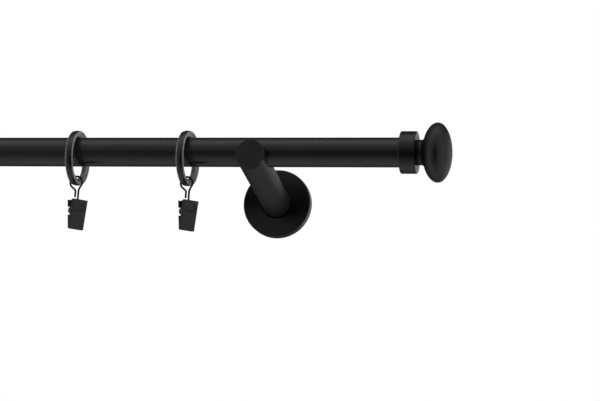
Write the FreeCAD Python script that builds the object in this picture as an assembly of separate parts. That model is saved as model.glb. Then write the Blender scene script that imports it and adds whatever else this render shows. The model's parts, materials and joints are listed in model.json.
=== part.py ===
"""Curtain rod with two wall brackets, two finials and six hook rings with clips.

Frame, in mm: X runs along the rod, the wall is the plane Y = 0 with the room on its -Y side, and Z is up.
The origin lies on the wall, midway between the brackets, at the height of the rosettes' centres.
"""

import FreeCAD, Part
import math
import os

from FreeCAD import Vector

# Rod
ROD_DIAMETER = 19.0
ROD_WALL = 1.2
ROD_LENGTH = 800.0
ROD_Y = -72.0
ROD_Z = 19.0

# Brackets
BRACKET_X = 297.0
ARM_DIAMETER = 19.0
ARM_TILT = 10.2  # degrees above level, rising towards the room
ARM_FRONT_Y = -86.0
CAP_THICKNESS = 1.5
CAP_EDGE = 0.35
CAP_PLUG_LENGTH = 1.2
SADDLE_CLEARANCE = 0.1
LOCK_SCREW_DIAMETER = 5.0
LOCK_SCREW_LENGTH = 2.8
PLATE_DIAMETER = 40.0
PLATE_THICKNESS = 3.0
WALL_HOLE_DIAMETER = 4.5
WALL_HOLE_SPACING = 29.0
WALL_HOLE_SINK_DIAMETER = 8.0
ARM_BOLT_DIAMETER = 6.0
ARM_BOLT_LENGTH = 15.0
ARM_BOLT_HEAD_DIAMETER = 11.0
ROSETTE_DIAMETER = 46.0
ROSETTE_DEPTH = 7.0
ROSETTE_WALL = 1.5
ROSETTE_EDGE = 0.5
ROSETTE_BORE_CLEARANCE = 0.4
ROSETTE_WALL_GAP = 0.3

# Finials
COLLAR_DIAMETER = 27.0
COLLAR_LENGTH = 10.3
COLLAR_END_WALL = 1.75
COLLAR_EDGE = 0.8
NECK_RADIUS = 8.1
NECK_LENGTH = 4.2
KNOB_RADIUS = 18.95
KNOB_INNER_HALF = 9.8
KNOB_OUTER_HALF = 8.8
SPIGOT_DIAMETER = 6.0
SPIGOT_LENGTH = 7.0
GRUB_DIAMETER = 4.0

# Hook rings
RING_OUTER_DIAMETER = 36.0
RING_INNER_DIAMETER = 33.0
RING_WIDTH = 5.0
RING_CROWN = 0.5  # how far the outside swells between the ring's two sides
LINER_BORE = 27.6
LINER_WIDTH = 4.6
LINER_BORE_WIDTH = 2.6
LINER_EDGE = 0.2
RING_REST_GAP = 0.2
FIRST_RING_GAP = 45.0  # from the right bracket to its nearest ring
RING_PITCH = 75.0
RING_YAWS = [-2.0, 0.0, 1.5, 2.0, -2.5, 0.5]  # degrees each ring has turned about the vertical
HOOK_WIRE = 1.3
HOOK_LOOP_INNER = 6.8
HOOK_LOOP_DROP = 16.35  # from the ring's centre to the centre of the hook's loop
HOOK_LOOP_SHIFT = 0.4  # how far the loop hangs to +X of the ring's middle
HOOK_STEM_SHIFT = 2.0  # from the loop's centre to the stem, towards +X
HOOK_STEM_SLANT = 30.0  # degrees off upright where the stem's side leaves the loop
HOOK_STEM_BEND = 6.0
HOOK_LEG_SHIFT = 0.05  # from the loop's centre to the free leg, towards -X
HOOK_LEG_SLANT = 50.0
HOOK_LEG_BEND = 1.6
HOOK_FREE_LEG = 3.4
HOOK_STEM_END_Z = -14.6
HOOK_HEAD_RADIUS = 1.35
HOOK_HEAD_THICKNESS = 0.9

# Clips
CLIP_TOP_Z = -13.2
CLIP_YAW = 43.0  # degrees that the clip's front has turned towards +X
JAW_TOP_WIDTH = 11.0
JAW_FOOT_WIDTH = 10.9
JAW_HEIGHT = 19.5
JAW_GAP = 6.4  # between the outsides of the two jaws at the pin
JAW_FLARE = 12.0  # degrees that each jaw leans out above the pin
MOUTH_GAP = 0.12
FRONT_JAW_DROP = 0.4
SHEET = 0.8
TEETH = 7
TOOTH_HEIGHT = 0.6
TOOTH_SHARE = 1 / 3  # half of a notch between teeth, as a share of their pitch
DOME_RADIUS = 3.3
DOME_HEIGHT = 0.4
DOME_RISE = 0.4  # from the pin to the dome's straight lower edge
EAR_RADIUS = 1.7
EAR_THICKNESS = 0.7
INNER_EAR_X = 4.1
OUTER_EAR_X = 5.0
NOTCH_DEPTH = 2.0  # relief cuts in the back jaw's edges, above and below its ears
NOTCH_HEIGHT = 1.1
PIN_DROP = 7.4
PIN_DIAMETER = 1.5
PIN_CLEARANCE = 0.05
PIN_HEAD_RADIUS = 1.65
PIN_HEAD_THICKNESS = 0.4
SPRING_RADIUS = 1.6
SPRING_WIRE = 0.5
SPRING_LEG = 5.0
SPRING_END_GAP = 0.3
TAB_WIDTH = 8.0
TAB_FRONT = 1.3
TAB_HOLE_CLEARANCE = 0.15

# Small gaps between pieces of one body
FIT = 0.05

ROD_RADIUS = ROD_DIAMETER / 2
ROD_HALF = ROD_LENGTH / 2
ARM_RADIUS = ARM_DIAMETER / 2
TILT = math.radians(ARM_TILT)
ARM_AXIS = Vector(0, -math.cos(TILT), math.sin(TILT))
X_AXIS = Vector(1, 0, 0)
Y_AXIS = Vector(0, 1, 0)
Z_AXIS = Vector(0, 0, 1)
BIG = 200.0


def arm_height(y):
    """Height of the arm's axis at depth y; it passes the rosette's front face at Z = 0."""
    return (-ROSETTE_DEPTH - y) * math.tan(TILT)


def cylinder(radius, length, base, axis):
    return Part.makeCylinder(radius, length, base, axis)


def box(x_size, y_size, z_size, corner):
    return Part.makeBox(x_size, y_size, z_size, corner)


def moved(shape, x=0.0, y=0.0, z=0.0):
    copy = shape.copy()
    copy.translate(Vector(x, y, z))
    return copy


def turned(shape, centre, axis, degrees):
    copy = shape.copy()
    copy.rotate(centre, axis, degrees)
    return copy


def save(name, shape):
    """Write one node, and stop if it is not sound."""
    shape = shape.removeSplitter()
    if not shape.isValid() or shape.Volume <= 0:
        raise ValueError(name + " is not a sound solid")
    shape.exportStep("parts/" + name + ".step")


def on_side(shape, side):
    """The piece for the right bracket or finial, or its mirror image for the left one."""
    if side == "right":
        return shape
    return shape.mirror(Vector(0, 0, 0), X_AXIS)


# ------------------------------------------------------------------ rod


def rod_tube():
    start = Vector(-ROD_HALF, ROD_Y, ROD_Z)
    outer = cylinder(ROD_RADIUS, ROD_LENGTH, start, X_AXIS)
    inner = cylinder(ROD_RADIUS - ROD_WALL, ROD_LENGTH, start, X_AXIS)
    return outer.cut(inner)


# ------------------------------------------------------------------ brackets


def bracket_arm():
    """A solid round bar cut upright at both ends, with an open saddle for the rod."""
    reach = -ARM_FRONT_Y + 2 * ARM_DIAMETER
    start_y = ARM_DIAMETER
    base = Vector(BRACKET_X, start_y, arm_height(start_y))
    bar = cylinder(ARM_RADIUS, reach + start_y, base, ARM_AXIS)
    foot_y = -PLATE_THICKNESS - FIT
    keep = box(BIG, foot_y - ARM_FRONT_Y, BIG, Vector(BRACKET_X - BIG / 2, ARM_FRONT_Y, -BIG / 2))
    bar = bar.common(keep)
    saddle_radius = ROD_RADIUS + SADDLE_CLEARANCE
    seat = cylinder(saddle_radius, BIG, Vector(BRACKET_X - BIG / 2, ROD_Y, ROD_Z), X_AXIS)
    mouth = box(BIG, 2 * saddle_radius, BIG, Vector(BRACKET_X - BIG / 2, ROD_Y - saddle_radius, ROD_Z))
    bar = bar.cut(seat).cut(mouth)
    screw_way = Vector(BRACKET_X, ARM_FRONT_Y - 1, ROD_Z)
    bar = bar.cut(cylinder(LOCK_SCREW_DIAMETER / 2 + FIT, saddle_radius, screw_way, Y_AXIS))
    bolt_mouth = Vector(BRACKET_X, 1, arm_height(foot_y))
    return bar.cut(cylinder(ARM_BOLT_DIAMETER / 2 + FIT, ARM_BOLT_LENGTH + 2, bolt_mouth, -Y_AXIS))


def bracket_front_cap():
    """A disc over the arm's front end, with a plug that presses into the lock screw's hole."""
    centre_z = arm_height(ARM_FRONT_Y)
    back_y = ARM_FRONT_Y - FIT
    disc = cylinder(ARM_RADIUS, CAP_THICKNESS, Vector(BRACKET_X, back_y, centre_z), -Y_AXIS)
    front_edge = [e for e in disc.Edges if e.BoundBox.YMax < back_y - CAP_THICKNESS / 2 and e.Closed]
    disc = disc.makeChamfer(CAP_EDGE, front_edge)
    plug_start = Vector(BRACKET_X, back_y - CAP_THICKNESS / 2, ROD_Z)
    plug = cylinder(LOCK_SCREW_DIAMETER / 2, CAP_THICKNESS / 2 + FIT + CAP_PLUG_LENGTH, plug_start, Y_AXIS)
    return disc.fuse(plug)


def rod_lock_screw():
    """A socket grub screw whose flat end presses the rod against the back of its saddle."""
    tip_y = ROD_Y - ROD_RADIUS - FIT
    start = Vector(BRACKET_X, tip_y - LOCK_SCREW_LENGTH, ROD_Z)
    screw = cylinder(LOCK_SCREW_DIAMETER / 2, LOCK_SCREW_LENGTH, start, Y_AXIS)
    return screw.cut(hexagon_along_y(start, LOCK_SCREW_DIAMETER / 4, LOCK_SCREW_LENGTH / 2))


def hexagon_along_y(start, radius, depth):
    """A hexagonal key socket that opens at start and runs along +Y."""
    corners = []
    for step in range(7):
        angle = math.radians(60 * step)
        corners.append(start + Vector(radius * math.cos(angle), 0, radius * math.sin(angle)))
    return Part.Face(Part.makePolygon(corners)).extrude(Vector(0, depth, 0))


def wall_plate():
    """The disc screwed to the wall: two sunk screw holes, and a sunk hole for the arm's bolt."""
    disc = cylinder(PLATE_DIAMETER / 2, PLATE_THICKNESS, Vector(BRACKET_X, 0, 0), -Y_AXIS)
    for sign in (-1, 1):
        start = Vector(BRACKET_X, 1, sign * WALL_HOLE_SPACING / 2)
        disc = disc.cut(cylinder(WALL_HOLE_DIAMETER / 2, PLATE_THICKNESS + 2, start, -Y_AXIS))
        sink_depth = (WALL_HOLE_SINK_DIAMETER - WALL_HOLE_DIAMETER) / 4
        narrow = WALL_HOLE_DIAMETER / 2
        wide = WALL_HOLE_SINK_DIAMETER / 2
        sink_base = Vector(BRACKET_X, -PLATE_THICKNESS, sign * WALL_HOLE_SPACING / 2)
        disc = disc.cut(Part.makeCone(wide, narrow, sink_depth, sink_base, Y_AXIS))
    bolt_z = arm_height(-PLATE_THICKNESS - FIT)
    bolt_mouth = Vector(BRACKET_X, 1, bolt_z)
    disc = disc.cut(cylinder(ARM_BOLT_DIAMETER / 2 + FIT, PLATE_THICKNESS + 2, bolt_mouth, -Y_AXIS))
    head_depth = (ARM_BOLT_HEAD_DIAMETER - ARM_BOLT_DIAMETER) / 2
    head = Part.makeCone(
        ARM_BOLT_HEAD_DIAMETER / 2 + FIT, ARM_BOLT_DIAMETER / 2 + FIT, head_depth,
        Vector(BRACKET_X, 0, bolt_z), -Y_AXIS,
    )
    return disc.cut(head)


def arm_bolt():
    """A countersunk bolt from the back of the wall plate into the arm's foot."""
    bolt_z = arm_height(-PLATE_THICKNESS - FIT)
    start = Vector(BRACKET_X, -FIT, bolt_z)
    head_depth = (ARM_BOLT_HEAD_DIAMETER - ARM_BOLT_DIAMETER) / 2
    head_radius = ARM_BOLT_HEAD_DIAMETER / 2 - FIT
    head = Part.makeCone(head_radius, ARM_BOLT_DIAMETER / 2, head_depth, start, -Y_AXIS)
    shank = cylinder(ARM_BOLT_DIAMETER / 2, ARM_BOLT_LENGTH, start, -Y_AXIS)
    socket = hexagon_along_y(start - Vector(0, head_depth, 0), ARM_BOLT_DIAMETER / 3, head_depth)
    return head.fuse(shank).cut(socket)


def rosette():
    """A round cover: a flat front with the arm's hole and a short side wall that reaches the wall."""
    start = Vector(BRACKET_X, -ROSETTE_WALL_GAP, 0)
    depth = ROSETTE_DEPTH - ROSETTE_WALL_GAP
    cup = cylinder(ROSETTE_DIAMETER / 2, depth, start, -Y_AXIS)
    front_edge = [e for e in cup.Edges if e.BoundBox.YMax < -ROSETTE_DEPTH / 2 and e.Closed]
    cup = cup.makeFillet(ROSETTE_EDGE, front_edge)
    cup = cup.cut(cylinder(ROSETTE_DIAMETER / 2 - ROSETTE_WALL, depth - ROSETTE_WALL, start, -Y_AXIS))
    way = Vector(BRACKET_X, ARM_DIAMETER, arm_height(ARM_DIAMETER))
    return cup.cut(cylinder(ARM_RADIUS + ROSETTE_BORE_CLEARANCE, 3 * ARM_DIAMETER, way, ARM_AXIS))


# ------------------------------------------------------------------ finials


def finial_collar():
    """A cup that fits over the rod's end, with softened edges and a hole for the knob's spigot."""
    outer_x = ROD_HALF + FIT + COLLAR_END_WALL
    inner_x = outer_x - COLLAR_LENGTH
    body = cylinder(COLLAR_DIAMETER / 2, COLLAR_LENGTH, Vector(inner_x, ROD_Y, ROD_Z), X_AXIS)
    rims = [e for e in body.Edges if e.Closed and e.BoundBox.XLength < FIT]
    body = body.makeFillet(COLLAR_EDGE, rims)
    bore_length = COLLAR_LENGTH - COLLAR_END_WALL
    body = body.cut(cylinder(ROD_RADIUS + FIT, bore_length, Vector(inner_x, ROD_Y, ROD_Z), X_AXIS))
    spigot_start = Vector(inner_x, ROD_Y, ROD_Z)
    body = body.cut(cylinder(SPIGOT_DIAMETER / 2 + FIT, COLLAR_LENGTH + 1, spigot_start, X_AXIS))
    grub_start = Vector(grub_x(), ROD_Y, ROD_Z)
    return body.cut(cylinder(GRUB_DIAMETER / 2 + FIT, COLLAR_DIAMETER, grub_start, Y_AXIS))


def grub_x():
    return ROD_HALF + COLLAR_END_WALL - COLLAR_LENGTH / 2


def finial_grub_screw():
    """A short socket screw at the collar's back, stopping just clear of the rod."""
    start_y = ROD_RADIUS + FIT
    end_y = COLLAR_DIAMETER / 2 - 4 * FIT
    start = Vector(grub_x(), ROD_Y + start_y, ROD_Z)
    screw = cylinder(GRUB_DIAMETER / 2, end_y - start_y, start, Y_AXIS)
    depth = (end_y - start_y) / 2
    mouth = Vector(grub_x(), ROD_Y + end_y - depth, ROD_Z)
    return screw.cut(hexagon_along_y(mouth, GRUB_DIAMETER / 4, depth + 1))


def finial_knob():
    """A flattened ball turned in one with its neck and spigot, as a profile spun about the rod's axis."""
    face_x = ROD_HALF + FIT + COLLAR_END_WALL + FIT
    start_of_ball = KNOB_INNER_HALF * math.sqrt(1 - (NECK_RADIUS / KNOB_RADIUS) ** 2)
    widest_x = face_x + NECK_LENGTH + start_of_ball
    tip_x = widest_x + KNOB_OUTER_HALF
    tail_x = face_x - SPIGOT_LENGTH

    def at(x, radius):
        return Vector(x, ROD_Y, ROD_Z + radius)

    inner_curve = [at(face_x + NECK_LENGTH, NECK_RADIUS)]
    outer_curve = [at(widest_x, KNOB_RADIUS)]
    start_angle = math.asin(NECK_RADIUS / KNOB_RADIUS)
    for step in range(1, 9):
        angle = start_angle + (math.pi / 2 - start_angle) * step / 8
        inner_curve.append(at(widest_x - KNOB_INNER_HALF * math.cos(angle), KNOB_RADIUS * math.sin(angle)))
        fall = math.pi / 2 * step / 8
        outer_curve.append(at(widest_x + KNOB_OUTER_HALF * math.sin(fall), KNOB_RADIUS * math.cos(fall)))
    inner_edge = Part.BSplineCurve()
    inner_edge.interpolate(inner_curve)
    outer_edge = Part.BSplineCurve()
    outer_edge.interpolate(outer_curve, InitialTangent=X_AXIS, FinalTangent=-Z_AXIS)
    corners = [at(face_x + NECK_LENGTH, NECK_RADIUS), at(face_x, NECK_RADIUS)]
    corners += [at(face_x, SPIGOT_DIAMETER / 2), at(tail_x, SPIGOT_DIAMETER / 2), at(tail_x, 0), at(tip_x, 0)]
    straight = Part.makePolygon(corners)
    outline = Part.Wire([inner_edge.toShape(), outer_edge.toShape()] + straight.Edges)
    return Part.Face(outline).revolve(Vector(0, ROD_Y, ROD_Z), X_AXIS, 360)


# ------------------------------------------------------------------ hook rings


def ring_positions():
    """Ring centres along the rod: three by the right bracket, and their mirror images."""
    right = [BRACKET_X - FIRST_RING_GAP - RING_PITCH * step for step in range(3)]
    return right + [-x for x in reversed(right)]


def ring_centre_z():
    """The liner hangs on the rod's top with a small gap."""
    return ROD_Z + ROD_RADIUS + RING_REST_GAP - LINER_BORE / 2


def ring():
    """A metal band about the origin, lying across X, plain inside and crowned outside."""
    half = RING_WIDTH / 2
    outer_radius = RING_OUTER_DIAMETER / 2
    inner_radius = RING_INNER_DIAMETER / 2
    right_rim = Vector(half, 0, outer_radius - RING_CROWN)
    left_rim = Vector(-half, 0, outer_radius - RING_CROWN)
    crown = Part.Arc(left_rim, Vector(0, 0, outer_radius), right_rim).toShape()
    inside = [right_rim, Vector(half, 0, inner_radius), Vector(-half, 0, inner_radius), left_rim]
    outline = Part.Wire([crown] + Part.makePolygon(inside).Edges)
    return Part.Face(outline).revolve(Vector(0, 0, 0), X_AXIS, 360)


def liner():
    """A band inside the ring that narrows towards its bore; its outer rims are broken."""
    half = LINER_WIDTH / 2
    bore_half = LINER_BORE_WIDTH / 2
    outer_radius = RING_INNER_DIAMETER / 2 - FIT
    bore = LINER_BORE / 2
    profile = [
        (-half, outer_radius - LINER_EDGE), (-half + LINER_EDGE, outer_radius),
        (half - LINER_EDGE, outer_radius), (half, outer_radius - LINER_EDGE),
        (bore_half, bore), (-bore_half, bore),
    ]
    points = [Vector(x, 0, r) for x, r in profile + profile[:1]]
    return Part.Face(Part.makePolygon(points)).revolve(Vector(0, 0, 0), X_AXIS, 360)


def hook():
    """One bent wire: an open loop through the ring, a short free leg, and a stem with an upset head.

    It is drawn with the stem at X = 0, so that the clip can turn about it.
    """
    centre = Vector(-HOOK_STEM_SHIFT, 0, ring_centre_z() - HOOK_LOOP_DROP)
    stem_side, stem_top = wire_leaving_loop(HOOK_STEM_SHIFT, HOOK_STEM_SLANT, HOOK_STEM_BEND)
    leg_side, leg_top = wire_leaving_loop(-HOOK_LEG_SHIFT, HOOK_LEG_SLANT, HOOK_LEG_BEND)
    stem_length = centre.z + stem_top.z - HOOK_STEM_END_Z
    stem = cylinder(HOOK_WIRE / 2, stem_length, stem_top, -Z_AXIS)
    head_base = stem_top - Vector(0, 0, stem_length + HOOK_HEAD_THICKNESS / 2)
    head = cylinder(HOOK_HEAD_RADIUS, HOOK_HEAD_THICKNESS, head_base, Z_AXIS)
    leg_side.append(cylinder(HOOK_WIRE / 2, HOOK_FREE_LEG, leg_top, -Z_AXIS))
    left = [piece.mirror(Vector(0, 0, 0), X_AXIS) for piece in leg_side]
    over_the_top = 180 + HOOK_STEM_SLANT + HOOK_LEG_SLANT
    loop = wire_bend(loop_point(HOOK_STEM_SLANT), Vector(0, 0, 0), -over_the_top)
    wire = loop.fuse(stem_side + left + [stem, head])
    return moved(wire, centre.x, centre.y, centre.z)


def loop_point(slant_degrees):
    """Where the wire leaves a loop about the origin on its +X side, running down at a slant off upright."""
    radius = (HOOK_LOOP_INNER + HOOK_WIRE) / 2
    slant = math.radians(slant_degrees)
    return Vector(radius * math.cos(slant), 0, -radius * math.sin(slant))


def wire_bend(start, centre, degrees):
    """Round wire from start, carried round a line along Y through centre."""
    tangent = (start - centre).cross(Y_AXIS)
    section = Part.Face(Part.Wire(Part.Circle(start, tangent, HOOK_WIRE / 2).toShape()))
    return section.revolve(centre, Y_AXIS, degrees)


def wire_leaving_loop(end_x, slant_degrees, bend_radius):
    """The wire on the +X side of a loop about the origin: a slanted run in line with it, then a bend upright.

    Returns the two pieces of wire, and the bend's lower end at X = end_x.
    """
    slant = math.radians(slant_degrees)
    neck = loop_point(slant_degrees)
    downhill = Vector(-math.sin(slant), 0, -math.cos(slant))
    run = (neck.x - end_x - bend_radius * (1 - math.cos(slant))) / math.sin(slant)
    run_end = neck + downhill * run
    bend_centre = run_end + Vector(math.cos(slant), 0, -math.sin(slant)) * bend_radius
    bend = wire_bend(run_end, bend_centre, -slant_degrees)
    return [cylinder(HOOK_WIRE / 2, run, neck, downhill), bend], bend_centre - X_AXIS * bend_radius


# ------------------------------------------------------------------ clips


def pin_z():
    return CLIP_TOP_Z - PIN_DROP


def jaw_panel(top_z):
    """The front jaw's panel: bent at the pin, leaning out above it and in to the mouth below it."""
    foot_z = CLIP_TOP_Z - JAW_HEIGHT
    pin_face = -JAW_GAP / 2
    top_face = pin_face - (top_z - pin_z()) * math.tan(math.radians(JAW_FLARE))
    foot_face = -MOUTH_GAP / 2 - SHEET
    outline = [
        (top_face, top_z), (pin_face, pin_z()), (foot_face, foot_z),
        (foot_face + SHEET, foot_z), (pin_face + SHEET, pin_z()), (top_face + SHEET, top_z),
    ]
    corners = [Vector(-BIG / 2, y, z) for y, z in outline + outline[:1]]
    bent = Part.Face(Part.makePolygon(corners)).extrude(Vector(BIG, 0, 0))
    half_top = JAW_TOP_WIDTH / 2
    half_foot = JAW_FOOT_WIDTH / 2
    front_view = [(-half_top, CLIP_TOP_Z), (half_top, CLIP_TOP_Z), (half_foot, foot_z), (-half_foot, foot_z)]
    corners = [Vector(x, -BIG / 2, z) for x, z in front_view + front_view[:1]]
    panel = bent.common(Part.Face(Part.makePolygon(corners)).extrude(Vector(0, BIG, 0)))
    # teeth: small triangular notches across the mouth's inner edge
    pitch = JAW_FOOT_WIDTH / TEETH
    for step in range(TEETH):
        x = -half_foot + pitch * (step + 0.5)
        half = pitch * TOOTH_SHARE
        notch = [(x - half, foot_z - FIT), (x, foot_z + TOOTH_HEIGHT), (x + half, foot_z - FIT)]
        corners = [Vector(px, foot_face + SHEET / 2, pz) for px, pz in notch + notch[:1]]
        panel = panel.cut(Part.Face(Part.makePolygon(corners)).extrude(Vector(0, SHEET, 0)))
    return panel


def jaw_ears(centre_x):
    """Round-ended side walls from the front jaw's panel to the pin."""
    ears = None
    reach = JAW_GAP / 2 - SHEET / 2
    for x in (-centre_x, centre_x):
        start = Vector(x - EAR_THICKNESS / 2, 0, pin_z())
        ear = cylinder(EAR_RADIUS, EAR_THICKNESS, start, X_AXIS)
        web = box(EAR_THICKNESS, reach, 2 * EAR_RADIUS, start + Vector(0, -reach, -EAR_RADIUS))
        ear = ear.fuse(web)
        ears = ear if ears is None else ears.fuse(ear)
    return ears


def pin_hole():
    start = Vector(-JAW_TOP_WIDTH, 0, pin_z())
    return cylinder(PIN_DIAMETER / 2 + PIN_CLEARANCE, 2 * JAW_TOP_WIDTH, start, X_AXIS)


def clip_front_jaw():
    """The pressed front jaw: bent panel, a raised half-round dome for the thumb, and the outer ears."""
    panel = jaw_panel(CLIP_TOP_Z - FRONT_JAW_DROP)
    dome_base = Vector(0, -JAW_GAP / 2 - DOME_HEIGHT, pin_z() + DOME_RISE)
    dome = cylinder(DOME_RADIUS, DOME_HEIGHT + SHEET / 2, dome_base, Y_AXIS)
    lower_corner = dome_base - Vector(DOME_RADIUS, JAW_GAP / 2, DOME_RADIUS)
    lower = box(2 * DOME_RADIUS, JAW_GAP, DOME_RADIUS, lower_corner)
    panel = panel.fuse(dome.cut(lower))
    return panel.fuse(jaw_ears(OUTER_EAR_X)).cut(pin_hole())


def clip_back_jaw():
    """The back jaw: the same bent panel, the inner pair of ears, and the top tab that hangs on the hook."""
    panel = jaw_panel(CLIP_TOP_Z)
    for x in (-JAW_TOP_WIDTH / 2, JAW_TOP_WIDTH / 2 - NOTCH_DEPTH):
        for z in (pin_z() - EAR_RADIUS - NOTCH_HEIGHT, pin_z() + EAR_RADIUS):
            panel = panel.cut(box(NOTCH_DEPTH, JAW_GAP, NOTCH_HEIGHT, Vector(x, -JAW_GAP, z)))
    half_turned = panel.fuse(jaw_ears(INNER_EAR_X))
    half_turned = turned(half_turned, Vector(0, 0, 0), Z_AXIS, 180)
    back_y = JAW_GAP / 2 + PIN_DROP * math.tan(math.radians(JAW_FLARE)) - SHEET / 2
    tab = box(TAB_WIDTH, back_y + TAB_FRONT, SHEET, Vector(-TAB_WIDTH / 2, -TAB_FRONT, CLIP_TOP_Z - SHEET))
    hole_base = Vector(0, 0, CLIP_TOP_Z - 2 * SHEET)
    stem_hole = cylinder(HOOK_WIRE / 2 + TAB_HOLE_CLEARANCE, 3 * SHEET, hole_base, Z_AXIS)
    return half_turned.fuse(tab).cut(stem_hole).cut(pin_hole())


def clip_pin():
    """A pin with a flat head at each end, through both jaws' ears and the spring."""
    half = OUTER_EAR_X + EAR_THICKNESS / 2 + PIN_CLEARANCE
    pin = cylinder(PIN_DIAMETER / 2, 2 * half, Vector(-half, 0, pin_z()), X_AXIS)
    for x in (-half - PIN_HEAD_THICKNESS, half):
        pin = pin.fuse(cylinder(PIN_HEAD_RADIUS, PIN_HEAD_THICKNESS, Vector(x, 0, pin_z()), X_AXIS))
    return pin


def clip_spring():
    """A torsion spring: its close coil as one sleeve about the pin, and a leg up to each jaw's panel."""
    half = INNER_EAR_X - EAR_THICKNESS / 2 - SPRING_END_GAP
    coil = cylinder(SPRING_RADIUS, 2 * half, Vector(-half, 0, pin_z()), X_AXIS)
    foot_y = SPRING_RADIUS - SPRING_WIRE
    flare = math.tan(math.radians(JAW_FLARE))
    tip_y = JAW_GAP / 2 - SHEET + SPRING_LEG * flare - SPRING_WIRE
    for sign in (-1, 1):
        foot = Vector(sign * (half - SPRING_WIRE), sign * foot_y, pin_z())
        rise = Vector(0, sign * (tip_y - foot_y), SPRING_LEG)
        coil = coil.fuse(cylinder(SPRING_WIRE / 2, rise.Length, foot, rise))
    return coil.cut(pin_hole())


# ------------------------------------------------------------------ the whole


def save_brackets():
    screws = []
    bolts = []
    for side in ("right", "left"):
        save("bracket_" + side + "_arm", on_side(bracket_arm(), side))
        save("bracket_" + side + "_front_cap", on_side(bracket_front_cap(), side))
        save("bracket_" + side + "_wall_plate", on_side(wall_plate(), side))
        save("bracket_" + side + "_rosette", on_side(rosette(), side))
        screws.append(on_side(rod_lock_screw(), side))
        bolts.append(on_side(arm_bolt(), side))
    save("rod_lock_screws", Part.makeCompound(screws))
    save("arm_bolts", Part.makeCompound(bolts))


def save_finials():
    for side in ("right", "left"):
        save("finial_" + side + "_collar", on_side(finial_collar(), side))
        save("finial_" + side + "_knob", on_side(finial_knob(), side))
        save("finial_" + side + "_grub_screw", on_side(finial_grub_screw(), side))


def save_hook_rings():
    ring_pieces = {"ring_{}": ring(), "ring_{}_liner": liner()}
    clip_pieces = {
        "clip_{}_front_jaw": clip_front_jaw(), "clip_{}_back_jaw": clip_back_jaw(),
        "clip_{}_pin": clip_pin(), "clip_{}_spring": clip_spring(),
    }
    origin = Vector(0, 0, 0)
    hanging = {name: moved(shape, z=ring_centre_z()) for name, shape in ring_pieces.items()}
    hanging["hook_{}"] = hook()
    for name, shape in clip_pieces.items():
        hanging[name] = turned(shape, origin, Z_AXIS, CLIP_YAW)
    for number, x in enumerate(ring_positions(), start=1):
        for name, shape in hanging.items():
            on_ring = name in ring_pieces
            centred = shape if on_ring else moved(shape, x=HOOK_LOOP_SHIFT + HOOK_STEM_SHIFT)
            placed = turned(centred, origin, Z_AXIS, RING_YAWS[number - 1])
            save(name.format(number), moved(placed, x=x, y=ROD_Y))


def main():
    os.makedirs("parts", exist_ok=True)
    save("rod_tube", rod_tube())
    save_brackets()
    save_finials()
    save_hook_rings()


main()
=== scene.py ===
"""The looks of a curtain rod with brackets, finials, hook rings and clips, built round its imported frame.

All lengths are in metres. X runs along the rod, the wall is at Y = 0 with the room on its -Y side,
and Z is up.
"""

import json
import math

import bmesh
import bpy
import numpy as np
from mathutils import Matrix, Vector


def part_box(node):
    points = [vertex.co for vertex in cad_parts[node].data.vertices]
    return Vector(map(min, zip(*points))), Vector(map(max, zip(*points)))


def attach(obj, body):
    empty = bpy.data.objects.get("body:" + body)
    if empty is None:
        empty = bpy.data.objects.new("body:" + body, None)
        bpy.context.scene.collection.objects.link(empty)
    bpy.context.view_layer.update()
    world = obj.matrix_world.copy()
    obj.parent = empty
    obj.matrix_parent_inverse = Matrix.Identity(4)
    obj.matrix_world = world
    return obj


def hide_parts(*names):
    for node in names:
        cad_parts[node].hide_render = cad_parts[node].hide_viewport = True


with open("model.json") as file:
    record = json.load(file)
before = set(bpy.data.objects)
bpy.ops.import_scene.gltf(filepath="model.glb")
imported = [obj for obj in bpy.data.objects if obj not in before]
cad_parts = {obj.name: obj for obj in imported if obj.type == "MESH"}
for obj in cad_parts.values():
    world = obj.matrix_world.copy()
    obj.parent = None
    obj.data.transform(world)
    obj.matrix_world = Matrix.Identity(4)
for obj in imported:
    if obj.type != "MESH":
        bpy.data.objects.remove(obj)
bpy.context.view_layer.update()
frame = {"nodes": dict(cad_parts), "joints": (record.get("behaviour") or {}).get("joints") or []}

MM = 0.001
nodes = frame["nodes"]
joints = {joint["name"]: joint for joint in frame["joints"]}

# ------------------------------------------------------------------------------------------------ rod
# The rod is one length of drawn steel tube, cut square, its ends just broken with a file.
# It is powder coated in matt black, which leaves a very fine even grain and a soft, wide sheen.

rod_low, rod_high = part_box("rod_tube")
rod_y = (rod_low.y + rod_high.y) / 2
rod_z = (rod_low.z + rod_high.z) / 2
rod_radius = (rod_high.z - rod_low.z) / 2
rod_wall = 1.2 * MM
X_AXIS, Y_AXIS, Z_AXIS = np.eye(3)


def middle(node):
    """Centre of a CAD node's box: half of its lowest corner plus its highest corner."""
    low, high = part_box(node)
    return (np.array(low) + np.array(high)) / 2


def softened(corners, radius, steps=5):
    """Outline in which each inner corner becomes a round curve.

    A corner P with unit directions a and b to its neighbours and a cut length c = radius becomes the
    curve P + c (1 - t)^2 a + c t^2 b for t from 0 to 1, with one point more just beyond each end to
    keep flats flat.
    """
    corners = np.array(corners, float)
    radii = np.broadcast_to(np.asarray(radius, float), len(corners))
    points = [corners[0]]
    t = np.linspace(0.0, 1.0, steps)[:, None]
    for before, corner, after, cut in zip(corners[:-2], corners[1:-1], corners[2:], radii[1:-1]):
        if cut <= 0:
            points.append(corner)
            continue
        to_before, to_after = before - corner, after - corner
        cut = min(cut, 0.45 * np.linalg.norm(to_before), 0.45 * np.linalg.norm(to_after))
        to_before, to_after = to_before / np.linalg.norm(to_before), to_after / np.linalg.norm(to_after)
        curve = corner + cut * (1 - t) ** 2 * to_before + cut * t**2 * to_after
        points.append(corner + 1.1 * cut * to_before)
        points.extend(curve)
        points.append(corner + 1.1 * cut * to_after)
    points.append(corners[-1])
    return np.array(points)


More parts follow.
